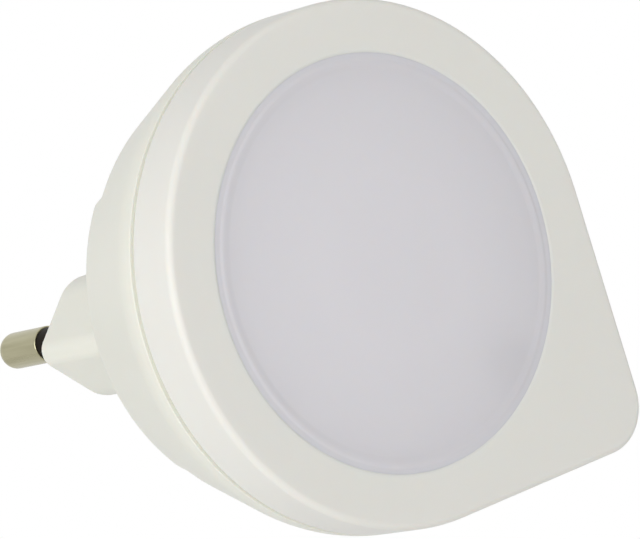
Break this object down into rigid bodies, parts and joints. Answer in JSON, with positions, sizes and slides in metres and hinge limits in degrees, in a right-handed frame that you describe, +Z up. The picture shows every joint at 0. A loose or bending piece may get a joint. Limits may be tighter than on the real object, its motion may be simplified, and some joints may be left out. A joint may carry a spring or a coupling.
{
  "type": "plug-in night light",
  "caption": "Plug-in night light: round casing with one square corner, opal lens in front with a dusk sensor behind it, and a flat two-pin plug at the back.",
  "frame": {"origin": "centre of the plug's pin face", "axes": "+Y out of the pin face along the pins, into the socket; +Z up; +X to the right as seen from the front; the lens faces -Y"},
  "size_m": [0.0544, 0.0573, 0.0544],
  "materials": {
    "casing_white": "warm white moulded plastic, satin",
    "opal_lens": "opal diffusing plastic, satin",
    "tray_white": "reflecting white",
    "shade_black": "matte",
    "sensor_amber": "clear moulded resin, tinted",
    "chip_phosphor": "phosphor in a white body",
    "board_white": "white solder mask",
    "screw_steel": "zinc plated",
    "film_red": "dipped resin",
    "can_blue": "printed sleeve, left plain",
    "moulding_black": "moulded epoxy",
    "resistor_green": "flameproof coating",
    "resistor_tan": "lacquer",
    "resistor_black": "glazed ceramic chip",
    "diode_glass": "tinted glass",
    "lead_brown": "wire insulation",
    "lead_blue": "wire insulation",
    "clamp_grey": "moulded",
    "pin_metal": "nickel plated brass",
    "sleeve_black": "moulded insulation"
  },
  "bodies": {
    "root": {"front_bezel": "casing_white", "rear_shell": "casing_white", "lens": "opal_lens", "reflector_tray": "tray_white", "sensor_shade": "shade_black", "dusk_sensor": "sensor_amber", "light_chips": "chip_phosphor", "circuit_board": "board_white", "board_screws": "screw_steel", "clamp_screw": "screw_steel", "dropper_capacitor": "film_red", "smoothing_capacitor": "can_blue", "bridge_rectifier": "moulding_black", "switch_transistor": "moulding_black", "fuse_resistor": "resistor_green", "bleed_resistor": "resistor_tan", "chip_resistors": "resistor_black", "zener_diode": "diode_glass", "left_lead": "lead_brown", "right_lead": "lead_blue", "clamp_plate": "clamp_grey", "left_pin": "pin_metal", "right_pin": "pin_metal", "left_sleeve": "sleeve_black", "right_sleeve": "sleeve_black"}
  },
  "joints": []
}
